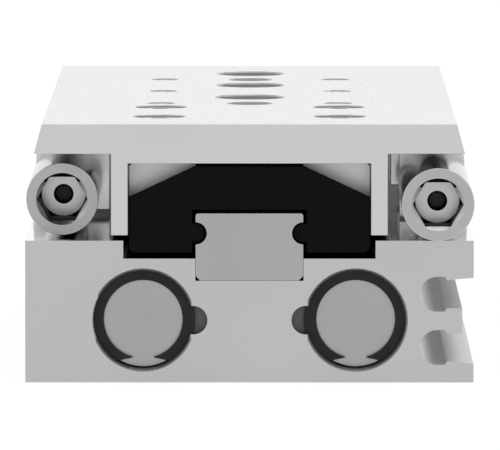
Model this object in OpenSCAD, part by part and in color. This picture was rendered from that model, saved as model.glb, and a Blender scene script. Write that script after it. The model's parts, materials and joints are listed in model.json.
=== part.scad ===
// Pneumatic slide table: twin pistons in an aluminium housing drive a table that
// runs on a ball rail, with an adjustable cushioned stop for each end of the stroke.
// The origin is the centre of the base face. X is across, +Y is the way the table
// advances, +Z is up. The table is drawn fully retracted. Millimetres.

/* [Housing] */
// Wall between the cylinders' end seats and the groove that the carriage runs in
track_wall = 2.35; // [2:0.05:3]
// Depth of the groove that the carriage runs in
track_d = 3.45; // [3:0.05:4]
// Free space at each side of the carriage in its groove
track_side_gap = 1.03; // [0.8:0.01:1.4]
// Depth of the rail's seat below the floor of the groove
rail_seat_d = 4.27; // [3.5:0.01:4.6]
// Depth of the milled seats for the stop blocks
stop_seat_d = 0.75; // [0.5:0.05:1]

/* [Sensor slots] */
// Height of the lower slot's middle line above the base
slot_lower_z = 6.75; // [6.6:0.05:7]
// Distance between the middle lines of the two slots
slot_pitch = 10.25; // [10.1:0.05:10.6]
// Height of a slot's mouth
slot_mouth = 5.4; // [5:0.1:5.8]
// Height of the round-bottomed pocket behind the mouth
slot_pocket_h = 6.7; // [6.3:0.1:7]
// Depth of a slot from the housing's side
slot_depth = 10.37; // [9.5:0.01:10.5]
// Thickness of the lips in front of the pocket
slot_lip_t = 5.1; // [4:0.1:5.5]
// How far the rib between the two slots is set back from the side
slot_rib_setback = 2.2; // [1:0.1:3]
// Extra height of the mouth at the side face, where the outer lips slope
slot_lead = 0.45; // [0.2:0.05:0.6]

/* [Cylinders] */
// Distance between the two cylinder axes
cylinder_pitch = 40.8; // [40:0.1:41.4]
// Height of the cylinder axes above the base
cylinder_z = 12; // [11.8:0.1:12.4]
// Diameter of the piston bore
piston_bore = 16; // [15:0.5:17]
// Diameter of the end seats for the rear cap and the rod gland
end_bore = 19; // [18.5:0.1:19.4]
// Chamfer at the mouth of an end seat
end_chamfer = 0.5; // [0.3:0.1:0.6]
// Depth of the rear cap's inner face from the rear of the housing
rear_seat_l = 11; // [10.5:0.5:13]
// Length of the rod gland's seat from the front of the housing
front_seat_l = 27.5; // [25:0.5:29]
// Length of a piston
piston_l = 12; // [12:0.5:15]
// Free length between the rear cap and the piston
rear_chamber = 5; // [5:0.5:7]
// Diameter of a piston rod
rod_d = 8; // [7:0.5:9]
// Radial running clearance of pistons and rods
running_gap = 0.05; // [0.03:0.01:0.08]
// Distance of a circlip's outer face from the end of the housing
circlip_inset = 1.8; // [1.5:0.1:2.2]
// Thickness of a circlip
circlip_t = 1; // [0.8:0.1:1.2]
// Visible radial width of a circlip
circlip_w = 1.94; // [1.6:0.02:2.2]
// Depth of the circlip's groove in the bore wall
circlip_groove_d = 0.5; // [0.4:0.05:0.6]
// Angle between the downward direction and each outer tip of the circlip
circlip_gap_angle = 35; // [20:1:40]
// Radius of the relief pocket beside each rear seat
relief_r = 2.75; // [2:0.05:3]
// Depth of the relief pocket
relief_d = 3; // [2:0.5:3.5]

/* [Air ports] */
// Diameter of the tapped air ports
port_d = 4.2; // [4:0.1:5]
// Depth of the tapped air ports
port_l = 6; // [5:0.5:7]
// Diameter of the cross drilling that feeds both cylinders
cross_d = 3; // [2.5:0.1:3.2]

/* [Guide rail] */
// Width of the rail
rail_w = 20.7; // [20:0.1:21]
// Height of the rail
rail_h = 12.97; // [12.6:0.01:13.2]
// Radius of the ball groove in each side of the rail
ball_groove_r = 2.1; // [2:0.05:2.2]
// Height of the ball grooves above the rail's underside
ball_groove_z = 9.12; // [8.8:0.02:9.3]
// Radius of the rail's upper long edges
rail_edge_r = 0.55; // [0.3:0.05:0.7]
// Chamfer along the rail's lower long edges
rail_foot_chamfer = 0.9; // [0.5:0.1:1.2]
// Distance of the first rail screw from the rear end
rail_screw_y = 40.5; // [38:0.5:42]
// Pitch of the rail screws and of the access holes in the table
rail_screw_pitch = 35; // [34:0.5:36]
// Number of rail screws
rail_screw_count = 4; // [3:1:4]

/* [Carriage] */
// Height from the rail's underside to the carriage's top
guide_h = 22.54; // [22:0.02:23]
// Width of the carriage block
carriage_w = 46; // [45:0.1:46.4]
// Length of the steel carriage block
carriage_block_l = 48; // [46:1:50]
// Thickness of each plastic end cap
end_cap_t = 7.5; // [6:0.5:8]
// Thickness of each wiper seal
wiper_t = 2; // [1.5:0.1:2.5]
// Distance of the rear wiper from the rear of the table
carriage_inset = 1; // [0.5:0.1:2]
// Free space between the carriage and the rail
carriage_gap = 0.6; // [0.4:0.05:0.7]
// Free space below the carriage
carriage_floor_gap = 1.05; // [0.8:0.05:1.3]
// Radius of a ball
ball_r = 1.9; // [1.8:0.02:1.92]
// Distance from a loaded row of balls to its return row
ball_return = 6.2; // [6:0.1:7]
// Half width of the flat top of an end cap
cap_flat_half = 10.3; // [9:0.1:11]
// Drop of an end cap's sloping shoulders
cap_shoulder_drop = 6; // [5:0.1:7]
// Gap between a wiper seal's top and the table
wiper_top_gap = 0.6; // [0.4:0.05:0.8]

/* [Table] */
// Thickness of the table's top plate over the carriage
table_t = 7.54; // [7.2:0.02:9]
// Thickness of the table's side flanges
flange_t = 5.7; // [5.4:0.1:6.4]
// Distance of the flanges' lower edges inside the housing's sides
flange_inset = 1.7; // [1.2:0.1:2.2]
// Lean of the flange edges from upright, in degrees
flange_lean = 15; // [10:1:20]
// Thickness of the table's two legs
leg_t = 3.25; // [2.8:0.05:3.4]
// Gap between the legs and the carriage block
leg_side_gap = 0.3; // [0.2:0.05:0.4]
// Gap between the legs and the housing's top face
leg_floor_gap = 1.02; // [0.8:0.02:1.4]
// Distance between the table's thread columns
table_thread_w = 35; // [34:0.5:36]
// Distance between the table's thread rows
table_thread_pitch = 35; // [34:0.5:36]
// Distance of the first thread row from the table's rear end
table_thread_y = 57.5; // [56:0.5:59]
// Core diameter of the table's M5 threads
table_thread_d = 4.2; // [4:0.1:5]
// Chamfer at the mouth of each thread
thread_chamfer = 0.85; // [0.4:0.05:1]
// Diameter of the centring bores in table and base
centring_d = 9; // [8:0.5:10]
// Depth of the centring bores
centring_depth = 2.1; // [2:0.1:3]
// Diameter of the access holes over the rail screws
access_d = 13.8; // [12:0.1:14]
// Diameter of the counterbores for the carriage screws
table_screw_bore = 10.15; // [9.5:0.05:10.4]
// Depth of the counterbores for the carriage screws
table_screw_sink = 5.4; // [5.2:0.1:5.6]
// Distance between the two rows of carriage screws
table_screw_pitch = 26; // [24:0.5:28]

/* [End stops] */
// Stroke of the table
stroke = 80; // [60:1:80]
// Diameter of the locking sleeves
sleeve_d = 13.9; // [13:0.1:14]
// Gap between the sleeves and the housing's top face
sleeve_gap = 0.45; // [0.3:0.05:0.8]
// Gap between a sleeve and the table's leg beside it
sleeve_leg_gap = 2.55; // [2.3:0.05:3]
// Distance the retract sleeve stands out behind the housing
retract_sleeve_out = 5.8; // [2:0.1:7]
// Distance the advance sleeve is set in from the table's rear end
advance_sleeve_in = 7.5; // [5:0.1:9]
// Size across the flats of the hexagon socket in a sleeve
sleeve_hex = 8.3; // [7.8:0.1:8.4]
// Diameter of the shock absorbers' threaded bodies
absorber_d = 10; // [9.6:0.1:10.2]
// Length of a shock absorber's body
absorber_l = 54; // [53:0.5:55]
// Distance of the retract absorber's end inside its sleeve
retract_absorber_in = 9.4; // [8:0.1:10]
// Distance of the advance absorber's end inside its sleeve
advance_absorber_in = 12.5; // [11:0.1:13]
// Diameter of a cushion plunger
plunger_d = 3; // [2.5:0.1:3.2]
// Travel of a cushion plunger
plunger_travel = 5; // [4:0.5:5]
// Gap left between a plunger's tip and what it meets
strike_gap = 0.3; // [0.2:0.05:0.4]
// Distance of the retract absorber's front end inside the stop block
block_recess = 3.1; // [2.5:0.1:4]
// Distance of the advance stop bracket from the rear of the table
advance_bracket_y = 57; // [56:0.1:58]
// Thickness of the stop block and bracket along the stroke
block_t = 10; // [9:0.5:10.5]
// Length of the foot of the stop block and bracket
foot_l = 20; // [19:0.5:22]
// Height of the stop block's foot, and of the bracket's
foot_h = 5.7; // [5.4:0.1:5.9]
// Gap between the retract stop block and the table's leg
block_leg_gap = 3.05; // [2.8:0.05:3.4]
// Gap between the advance bracket, or the striker, and the table's leg
bracket_leg_gap = 1.35; // [1.1:0.05:1.6]
// Length of the strike block at the front of the housing
strike_l = 8.2; // [7.8:0.1:12]
// Distance the outer faces of block and bracket lean in towards the top
block_lean = 0.7; // [0.2:0.1:1]

/* [Yoke plate] */
// Gap between the front of the housing and the yoke plate
yoke_gap = 2; // [1.5:0.1:3]
// Thickness of the yoke plate
yoke_t = 12; // [11:0.5:15]
// Height of the yoke plate's lower edge above the base
yoke_floor_gap = 1; // [0.5:0.1:2]
// Distance of the yoke plate's upper edge below the table top
yoke_top_drop = 0.96; // [0.9:0.02:1.2]
// Length of the piston rods' seats in the yoke plate
rod_seat_l = 3; // [2:0.5:3.5]

/* [Base holes] */
// Core diameter of the M6 threads in the base
base_thread_d = 5; // [4.6:0.1:5.2]
// Depth of the threads in the base
base_thread_l = 8; // [7:0.5:9]
// Distance between the two columns of base threads
base_thread_w = 12; // [11:0.5:13]
// Distance between rows of base threads
base_thread_pitch = 35; // [34:0.5:36]

/* [Hidden] */

$fn = 72;
// Overlap of a cutting solid with open air
cut = 1;
// Overlap of two shapes that are joined into one solid
lap = 0.01;
// Fit between pieces that are assembled and stay still
fit_gap = 0.02;
left = -1;
right = 1;

// Heights
housing_h = cylinder_z + end_bore / 2 + track_wall + track_d;
track_z = housing_h - track_d;
rail_z = track_z - rail_seat_d;
rail_top = rail_z + rail_h;
groove_z = rail_z + ball_groove_z;
carriage_top = rail_z + guide_h;
carriage_bottom = track_z + carriage_floor_gap;
table_top = carriage_top + table_t;
flange_z = table_top - flange_t;
leg_z = housing_h + leg_floor_gap;
stop_seat_z = housing_h - stop_seat_d;

// Places across the part
end_cap_overhang = 0.15;
cylinder_x = cylinder_pitch / 2;
end_cap_w = carriage_w + 2 * end_cap_overhang;
track_w = end_cap_w + 2 * track_side_gap;
channel_w = carriage_w + 2 * leg_side_gap;
leg_w = channel_w + 2 * leg_t;
housing_w = leg_w + 2 * (sleeve_leg_gap + sleeve_d);
side_x = housing_w / 2;
flange_w = housing_w - 2 * flange_inset;
stop_x = side_x - sleeve_d / 2;
retract_block_x = leg_w / 2 + block_leg_gap;
bracket_x = leg_w / 2 + bracket_leg_gap;
stop_z = housing_h + sleeve_d / 2 + sleeve_gap;

// Places along the part, from the rear face; the stroke and the stops set its length
retract_sleeve_y = -retract_sleeve_out;
retract_absorber_y = retract_sleeve_y + retract_absorber_in;
retract_absorber_front = retract_absorber_y + absorber_l;
retract_block_y = retract_absorber_front + block_recess - block_t;
striker_y = retract_absorber_front + plunger_travel + strike_gap;
stud_inset = 4.5;
stud_pitch = 9;
stud_foot_l = stud_pitch + 2 * stud_inset;
striker_l = stud_foot_l;
advance_absorber_y = advance_sleeve_in + advance_absorber_in;
advance_absorber_front = advance_absorber_y + absorber_l;
strike_y = advance_absorber_front + plunger_travel + stroke + strike_gap;
strike_front_gap = 0.5;
housing_l = strike_y + strike_l + strike_front_gap;
rear_y = -housing_l / 2;
table_l = housing_l + yoke_gap;
rear_cap_y = circlip_inset + circlip_t;
gland_front = housing_l - circlip_inset - circlip_t;
block_y = carriage_inset + wiper_t + end_cap_t;
block_mid = block_y + carriage_block_l / 2;
piston_y = rear_seat_l + rear_chamber;
gland_y = housing_l - front_seat_l;
port_y_rear = rear_seat_l + rear_chamber / 2;
port_margin = 1;
port_y_front = gland_y - cross_d / 2 - port_margin;

// Stop hardware
foot_z = stop_seat_z + foot_h;
foot_side_gap = 0.3;
foot_screw_inset = 5.5;
bracket_floor_gap = 1.35;
bracket_z = housing_h + bracket_floor_gap;
bracket_foot_h = 5.35;
bracket_foot_z = flange_z - bracket_foot_h;
bracket_foot_end = advance_absorber_front + stud_foot_l;
striker_gap = 0.7;
striker_z = foot_z + striker_gap;
striker_side_gap = 0.2;
strike_top_gap = 0.8;
strike_top = bracket_foot_z - strike_top_gap;
strike_pocket_gap = 0.3;
block_head_gap = 0.55;
stop_pocket_behind = 8.2;
stop_pocket_ahead = 2;
stop_pocket_rear = retract_block_y - stop_pocket_behind;
stop_pocket_front = retract_block_y + block_t + foot_l + stop_pocket_ahead;
sleeve_edge = 0.3;
sleeve_mouth = 0.65;
absorber_edge = 0.65;
absorber_clear = 0.3;
absorber_socket = 3;
absorber_socket_l = 4.5;
absorber_mouth_r = 1.93;
absorber_mouth_l = 0.6;
plunger_inside = 22;
plunger_bore_spare = 3;
plunger_edge = 0.5;

// Screws: [thread, head diameter, head height, socket across flats]
M3 = [3, 5.5, 3, 2.5];
M4 = [4, 7, 4, 3];
M4_LOW = [4, 7, 2.8, 2.5];
M5 = [5, 8.5, 5, 4];
head_clear = 0.3;
hole_clear = 0.1;
// Share of a screw's head height that is left below its socket
head_floor = 0.45;
// Length of a screw's tip chamfer, as a share of its thread
tip_share = 0.12;
// Free length of a tapped hole past its screw
hole_spare = 0.5;

function thread(s) = s[0];
function head_d(s) = s[1];
function head_h(s) = s[2];
function socket(s) = s[3];

rail_screw_l = 16;
rail_sink = 4.1;
table_screw_l = 12;
foot_screw_l = 7;
foot_sink = 3;
flange_grip = 4.5;
shoulder_z = flange_z - flange_grip;
flange_thread_l = 5;
carriage_thread_l = 10;
strike_screw_l = 30;
strike_screw_sink = 5.5;
yoke_screw_l = 16;
yoke_screw_sink = 3.4;
yoke_screw_x = [-19, -7, 7, 19];
yoke_screw_drop = 4.3;
yoke_screw_z = table_top - yoke_screw_drop;
yoke_head_clear = 0.15;
yoke_thread_l = 9;
rod_screw_l = 14;
rod_screw_sink = 5.4;
dowel_d = 3;
dowel_l = 17;
dowel_hole_l = 9;
dowel_x = 32;
dowel_z = table_top - flange_t / 2;
rod_thread_d = 6;
rod_thread_out = 0.6;
rod_edge = 0.5;
nut_h = 3.2;
nut_af = 10;

// Cylinder ends
cap_edge = 0.35;
gland_mouth = 1.2;
circlip_play = 0.05;
circlip_mouth = 4.1;
circlip_tip = 0.8;
relief_offset = 0.1;

// Guide
groove_inset = 0.05;
ball_gap = 0.3;
cap_top_gap = 0.1;
cap_setback = 0.65;
cap_pad_top = carriage_top - cap_top_gap;
edge_chamfer = 0.2;
access_chamfer = 0.3;
ball_row_x = rail_w / 2 + carriage_gap / 2;

// Seals
o_ring_t = 1.5;
o_ring_inset = 4.5;
o_ring_play = 0.1;
o_ring_floor_r = end_bore / 2 - o_ring_t + 0.1;
seal_inset = 1;
seal_t = 2;
seal_floor_r = piston_bore / 2 - 2;
magnet_t = 3;
magnet_gap = 0.3;
magnet_floor_r = piston_bore / 2 - 3;
rod_seal_t = 2.5;
rod_seal_r = rod_d / 2 + 2;
rod_seal_inset = 5;
rod_seal_play = 0.05;

// ---------- helpers ----------

// A solid with the outline of its child, drawn across the part, from y0 to y1
module profile(y0, y1)
    translate([0, rear_y + y1, 0])
        rotate([90, 0, 0])
            linear_extrude(y1 - y0) children();

// A round bar along the stroke
module bar(r, y0, y1, x, z)
    translate([x, rear_y + y0, z])
        rotate([-90, 0, 0])
            cylinder(r = r, h = y1 - y0);

// A round bar that tapers from r0 to r1 along the stroke
module taper(r0, r1, y0, y1, x, z)
    translate([x, rear_y + y0, z])
        rotate([-90, 0, 0])
            cylinder(r1 = r0, r2 = r1, h = y1 - y0);

// A round bar along the stroke with a chamfer at its rear end, its front end or both
module turned_bar(r, y0, y1, x, z, rear = 0, front = 0)
    translate([x, rear_y, z])
        rotate([-90, 0, 0])
            rotate_extrude()
                polygon(concat(
                    [[0, y0], [r - rear, y0]],
                    rear > 0 ? [[r, y0 + rear]] : [],
                    front > 0 ? [[r, y1 - front]] : [],
                    [[r - front, y1], [0, y1]]
                ));

// A hexagonal bar along the stroke with flats above and below
module hex_bar(af, y0, y1, x, z)
    translate([x, rear_y + y0, z])
        rotate([-90, 0, 0])
            cylinder(d = af / cos(30), h = y1 - y0, $fn = 6);

// A ring along the stroke
module ring(r_out, r_in, y0, y1, x, z)
    difference() {
        bar(r_out, y0, y1, x, z);
        bar(r_in, y0 - cut, y1 + cut, x, z);
    }

// A box between two corners, with y from the rear face
module block(x0, x1, y0, y1, z0, z1)
    translate([x0, rear_y + y0, z0])
        cube([x1 - x0, y1 - y0, z1 - z0]);

// A cap screw with the underside of its head at the origin and its head upwards
module cap_screw(s, l) {
    tip = thread(s) * tip_share;
    difference() {
        cylinder(d = head_d(s), h = head_h(s));
        translate([0, 0, head_h(s) * head_floor])
            cylinder(d = socket(s) / cos(30), h = head_h(s), $fn = 6);
    }
    rotate_extrude()
        polygon([
            [0, -l], [thread(s) / 2 - tip, -l], [thread(s) / 2, tip - l],
            [thread(s) / 2, lap], [0, lap],
        ]);
}

// The hole for a cap screw: clearance hole, head counterbore and tapped end
module screw_hole(s, l, clear_l, head_room) {
    cylinder(d = head_d(s) + 2 * head_clear, h = head_room);
    translate([0, 0, -clear_l])
        cylinder(d = thread(s) + 2 * hole_clear, h = clear_l + lap);
    translate([0, 0, -l - hole_spare])
        cylinder(d = thread(s) + 2 * fit_gap, h = l);
}

// Places of the screws, as [x, y from the rear]
rail_screw_ys = [for (i = [0 : rail_screw_count - 1]) rail_screw_y + i * rail_screw_pitch];
table_screw_places = [
    for (x = [-1, 1], y = [-1, 1])
        [x * table_thread_w / 2, block_mid + y * table_screw_pitch / 2]
];
foot_screw_x = (retract_block_x + side_x) / 2;
foot_screw_ys = [
    retract_block_y + block_t + foot_screw_inset,
    retract_block_y + block_t + foot_l - foot_screw_inset
];
bracket_screw_x = -(bracket_x + side_x) / 2;
bracket_screw_ys = [
    advance_absorber_front + stud_inset,
    advance_absorber_front + stud_inset + stud_pitch
];
striker_screw_x = (bracket_x + flange_w / 2) / 2;
striker_screw_ys = [striker_y + stud_inset, striker_y + stud_inset + stud_pitch];
strike_screw_x = -stop_x;
strike_screw_y = strike_y + strike_l / 2;

// ---------- housing ----------

// One sensor slot with its middle at the side face, opening towards +X;
// outer_lip is 1 or -1 for the side that slopes
module slot_outline(outer_lip) {
    half = slot_mouth / 2;
    pocket_r = slot_pocket_h / 2;
    end_x = pocket_r - slot_depth;
    lip_x = -slot_lip_t;
    slant = 0.4;
    translate([end_x, 0]) circle(r = pocket_r);
    polygon([
        [end_x, -pocket_r], [lip_x - slant, -pocket_r], [lip_x, -half],
        [cut, -half], [cut, half], [lip_x, half], [lip_x - slant, pocket_r],
        [end_x, pocket_r],
    ]);
    polygon([
        [lip_x, 0], [0, 0], [0, outer_lip * (half + slot_lead)], [lip_x, outer_lip * half],
    ]);
}

module housing_outline() {
    upper_z = slot_lower_z + slot_pitch;
    difference() {
        polygon([
            [-side_x, 0], [side_x, 0], [side_x, housing_h],
            [track_w / 2, housing_h], [track_w / 2, track_z],
            [rail_w / 2 + fit_gap, track_z], [rail_w / 2 + fit_gap, rail_z],
            [-rail_w / 2 - fit_gap, rail_z], [-rail_w / 2 - fit_gap, track_z],
            [-track_w / 2, track_z], [-track_w / 2, housing_h], [-side_x, housing_h],
        ]);
        translate([side_x, slot_lower_z]) slot_outline(-1);
        translate([side_x, upper_z]) slot_outline(1);
        translate([side_x - slot_rib_setback, slot_lower_z])
            square([slot_rib_setback + cut, slot_pitch]);
    }
}

// Everything that is bored for one cylinder
module cylinder_bores(side) {
    x = side * cylinder_x;
    seat_r = end_bore / 2;
    groove_y = circlip_inset - circlip_play;
    groove_w = circlip_t + 2 * circlip_play;
    bar(piston_bore / 2, rear_seat_l - cut, gland_y + cut, x, cylinder_z);
    bar(seat_r, -cut, rear_seat_l, x, cylinder_z);
    bar(seat_r, gland_y, housing_l + cut, x, cylinder_z);
    for (y = [groove_y, housing_l - groove_y - groove_w])
        bar(seat_r + circlip_groove_d, y, y + groove_w, x, cylinder_z);
    taper(seat_r + 2 * end_chamfer, seat_r, -end_chamfer, end_chamfer, x, cylinder_z);
    taper(seat_r, seat_r + 2 * end_chamfer,
        housing_l - end_chamfer, housing_l + end_chamfer, x, cylinder_z);
    bar(relief_r, -cut, relief_d, x - side * (seat_r + relief_offset), cylinder_z);
}

// One air port on the left side with the drilling that reaches both cylinders
module air_port(y) {
    translate([-side_x - cut, rear_y + y, cylinder_z])
        rotate([0, 90, 0]) {
            cylinder(d = port_d, h = port_l + cut);
            cylinder(d = cross_d, h = side_x + cut + cylinder_x - piston_bore / 4);
        }
}

module base_holes() {
    for (x = [-1, 1], row = [-1.5, -0.5, 0.5, 1.5])
        translate([x * base_thread_w / 2, row * base_thread_pitch, -cut])
            cylinder(d = base_thread_d, h = base_thread_l + cut);
    for (side = [-1, 1])
        translate([0, side * base_thread_pitch, -cut])
            cylinder(d = centring_d, h = centring_depth + cut);
}

module housing() color([0.75, 0.75, 0.76])
    difference() {
        profile(0, housing_l) housing_outline();
        cylinder_bores(left);
        cylinder_bores(right);
        air_port(port_y_rear);
        air_port(port_y_front);
        base_holes();
        for (y = rail_screw_ys)
            translate([0, rear_y + y, rail_top - rail_sink])
                screw_hole(M4, rail_screw_l, rail_h - rail_sink, head_h(M4));
        block(leg_w / 2 + block_head_gap, side_x + cut, stop_pocket_rear,
            stop_pocket_front, stop_seat_z, housing_h + cut);
        block(-side_x - cut, strike_pocket_gap - bracket_x, strike_y - strike_pocket_gap,
            housing_l + cut, stop_seat_z, housing_h + cut);
        for (y = foot_screw_ys)
            translate([foot_screw_x, rear_y + y, foot_z - foot_sink])
                screw_hole(M4_LOW, foot_screw_l, foot_h - foot_sink, head_h(M4_LOW));
        translate([strike_screw_x, rear_y + strike_screw_y, strike_screw_sink])
            rotate([180, 0, 0])
                screw_hole(M5, strike_screw_l, stop_seat_z - strike_screw_sink,
                    strike_screw_sink + cut);
    }

// ---------- guide rail ----------

module rail_outline() {
    half = rail_w / 2;
    r = rail_edge_r;
    foot = rail_foot_chamfer;
    difference() {
        union() {
            polygon([
                [foot - half, rail_z], [half - foot, rail_z], [half, rail_z + foot],
                [half, rail_top - r], [-half, rail_top - r], [-half, rail_z + foot],
            ]);
            translate([r - half, rail_z + foot]) square([rail_w - 2 * r, rail_h - foot]);
            for (x = [r - half, half - r])
                translate([x, rail_top - r]) circle(r = r);
        }
        for (side = [-1, 1])
            translate([side * (half - groove_inset), groove_z]) circle(r = ball_groove_r);
    }
}

module guide_rail() color([0.63, 0.63, 0.64])
    difference() {
        profile(0, housing_l) rail_outline();
        for (y = rail_screw_ys)
            translate([0, rear_y + y, rail_top - rail_sink])
                screw_hole(M4, rail_screw_l, rail_h, rail_sink + cut);
    }

module rail_screws() color([0.2, 0.2, 0.21])
    for (y = rail_screw_ys)
        translate([0, rear_y + y, rail_top - rail_sink])
            cap_screw(M4, rail_screw_l);

// ---------- cylinder ends ----------

module rear_cap(side) color([0.66, 0.66, 0.67]) {
    x = side * cylinder_x;
    y0 = rear_cap_y;
    r = end_bore / 2 - fit_gap;
    difference() {
        turned_bar(r, y0, rear_seat_l, x, cylinder_z, rear = cap_edge);
        o_ring_groove(x, y0 + o_ring_inset);
    }
}

// The groove round a cap or gland for an O-ring that starts at y
module o_ring_groove(x, y)
    ring(end_bore / 2 + cut, o_ring_floor_r - fit_gap, y - o_ring_play,
        y + o_ring_t + o_ring_play, x, cylinder_z);

// An O-ring that starts at y
module o_ring(side, y) color([0.08, 0.08, 0.08])
    ring(end_bore / 2 - fit_gap, o_ring_floor_r, y, y + o_ring_t, side * cylinder_x, cylinder_z);

// A circlip with plain ends, open at the bottom
module circlip(side, y) color([0.14, 0.14, 0.15]) {
    r_out = end_bore / 2 + circlip_groove_d - fit_gap;
    r_in = end_bore / 2 - circlip_w;
    outer_tip = r_out * sin(circlip_gap_angle);
    tip_z = -r_out * cos(circlip_gap_angle);
    inner_tip = circlip_mouth / 2;
    difference() {
        ring(r_out, r_in, y, y + circlip_t, side * cylinder_x, cylinder_z);
        profile(y - cut, y + circlip_t + cut)
            translate([side * cylinder_x, cylinder_z])
                polygon([
                    [-outer_tip, tip_z], [-inner_tip, tip_z + circlip_tip], [-inner_tip, 0],
                    [inner_tip, 0], [inner_tip, tip_z + circlip_tip], [outer_tip, tip_z],
                    [outer_tip, -2 * r_out], [-outer_tip, -2 * r_out],
                ]);
    }
}

module rod_gland(side) color([0.7, 0.7, 0.71]) {
    x = side * cylinder_x;
    y1 = gland_front;
    r = end_bore / 2 - fit_gap;
    seal_y = y1 - rod_seal_inset;
    bore_r = rod_d / 2 + running_gap;
    difference() {
        turned_bar(r, gland_y, y1, x, cylinder_z, front = cap_edge);
        bar(bore_r, gland_y - cut, y1 + cut, x, cylinder_z);
        bar(rod_seal_r, seal_y, seal_y + rod_seal_t, x, cylinder_z);
        taper(bore_r, bore_r + gland_mouth + lap, y1 - gland_mouth, y1 + lap, x, cylinder_z);
        o_ring_groove(x, gland_y + o_ring_inset);
    }
}

module rod_seal(side) color([0.12, 0.12, 0.13]) {
    y = gland_front - rod_seal_inset;
    ring(rod_seal_r - fit_gap, rod_d / 2 + running_gap, y + rod_seal_play,
        y + rod_seal_t - rod_seal_play, side * cylinder_x, cylinder_z);
}

// ---------- pistons ----------

module piston_rod(side) color([0.72, 0.72, 0.74]) {
    x = side * cylinder_x;
    z = cylinder_z;
    r = rod_d / 2;
    y0 = piston_y + piston_l;
    y1 = table_l + rod_seat_l;
    difference() {
        union() {
            bar(rod_thread_d / 2 - fit_gap, piston_y - nut_h - rod_thread_out, y0 + lap, x, z);
            turned_bar(r, y0, y1, x, z, front = rod_edge);
        }
        bar(thread(M5) / 2 + fit_gap, y1 - rod_screw_l, y1 + cut, x, z);
    }
}

module piston(side) color([0.7, 0.7, 0.72]) {
    x = side * cylinder_x;
    r = piston_bore / 2 - running_gap;
    mid = piston_y + piston_l / 2;
    difference() {
        bar(r, piston_y, piston_y + piston_l, x, cylinder_z);
        bar(rod_thread_d / 2, piston_y - cut, piston_y + piston_l + cut, x, cylinder_z);
        for (y = [piston_y + seal_inset, piston_y + piston_l - seal_inset - seal_t])
            ring(r + cut, seal_floor_r, y, y + seal_t, x, cylinder_z);
        ring(r + cut, magnet_floor_r, mid - magnet_t / 2, mid + magnet_t / 2, x, cylinder_z);
    }
}

module piston_nut(side) color([0.55, 0.55, 0.57])
    difference() {
        hex_bar(nut_af, piston_y - nut_h, piston_y, side * cylinder_x, cylinder_z);
        bar(rod_thread_d / 2, piston_y - nut_h - cut, piston_y + cut,
            side * cylinder_x, cylinder_z);
    }

module piston_magnet(side) color([0.25, 0.25, 0.27]) {
    mid = piston_y + piston_l / 2;
    ring(piston_bore / 2 - magnet_gap, magnet_floor_r + fit_gap, mid - magnet_t / 2 + fit_gap,
        mid + magnet_t / 2 - fit_gap, side * cylinder_x, cylinder_z);
}

module piston_seals(side) color([0.1, 0.1, 0.1])
    for (y = [piston_y + seal_inset, piston_y + piston_l - seal_inset - seal_t])
        ring(piston_bore / 2 - running_gap / 2, seal_floor_r + fit_gap, y + fit_gap,
            y + seal_t - fit_gap, side * cylinder_x, cylinder_z);

// ---------- stop hardware ----------

// Upright face of a stop under the flange: its outer side leans in, and leans
// with the flange above shoulder_z
module stop_outline(x_in, z0, z1) {
    x = side_x - block_lean;
    polygon([
        [x_in, z0], [side_x, z0], [x, shoulder_z],
        [x - (z1 - shoulder_z) * tan(flange_lean), z1], [x_in, z1],
    ]);
}

module retract_stop_block() color([0.76, 0.76, 0.77]) {
    y0 = retract_block_y;
    y1 = y0 + block_t;
    top = flange_z - block_head_gap;
    difference() {
        union() {
            profile(y0, y1) stop_outline(retract_block_x, stop_seat_z, top);
            block(retract_block_x, side_x - foot_side_gap, y1 - lap, y1 + foot_l,
                stop_seat_z, foot_z);
        }
        bar(absorber_d / 2 + fit_gap, y0 - cut, y1 + cut, stop_x, stop_z);
        for (y = foot_screw_ys)
            translate([foot_screw_x, rear_y + y, foot_z - foot_sink])
                screw_hole(M4_LOW, foot_screw_l, foot_h, foot_sink + cut);
    }
}

module retract_block_screws() color([0.2, 0.2, 0.21])
    for (y = foot_screw_ys)
        translate([foot_screw_x, rear_y + y, foot_z - foot_sink])
            cap_screw(M4_LOW, foot_screw_l);

module advance_stop_bracket() color([0.76, 0.76, 0.77]) {
    y0 = advance_bracket_y;
    y1 = y0 + block_t;
    difference() {
        union() {
            profile(y0, y1)
                mirror([1, 0]) stop_outline(bracket_x, bracket_z, flange_z);
            block(foot_side_gap - flange_w / 2, -bracket_x, y1 - lap, bracket_foot_end,
                bracket_foot_z, flange_z);
        }
        bar(absorber_d / 2 + fit_gap, y0 - cut, y1 + cut, -stop_x, stop_z);
        bar(absorber_d / 2 + absorber_clear, y1, advance_absorber_front + absorber_clear,
            -stop_x, stop_z);
        for (y = bracket_screw_ys)
            translate([bracket_screw_x, rear_y + y, bracket_foot_z + foot_sink])
                rotate([180, 0, 0])
                    screw_hole(M4_LOW, foot_screw_l, foot_h, foot_sink + cut);
    }
}

module advance_bracket_screws() color([0.2, 0.2, 0.21])
    for (y = bracket_screw_ys)
        translate([bracket_screw_x, rear_y + y, bracket_foot_z + foot_sink])
            rotate([180, 0, 0]) cap_screw(M4_LOW, foot_screw_l);

// A locking sleeve from y0 to y1 with a hexagon socket at its rear end
module lock_sleeve(x, y0, y1, absorber_y) {
    r = sleeve_d / 2;
    mouth_r = sleeve_hex / 2 / cos(30) + fit_gap;
    difference() {
        turned_bar(r, y0, y1, x, stop_z, rear = sleeve_edge);
        hex_bar(sleeve_hex, y0 - cut, absorber_y, x, stop_z);
        taper(mouth_r + cut, mouth_r - sleeve_mouth, y0 - cut, y0 + sleeve_mouth, x, stop_z);
        bar(absorber_d / 2 + fit_gap, absorber_y - cut, y1 + cut, x, stop_z);
    }
}

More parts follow.
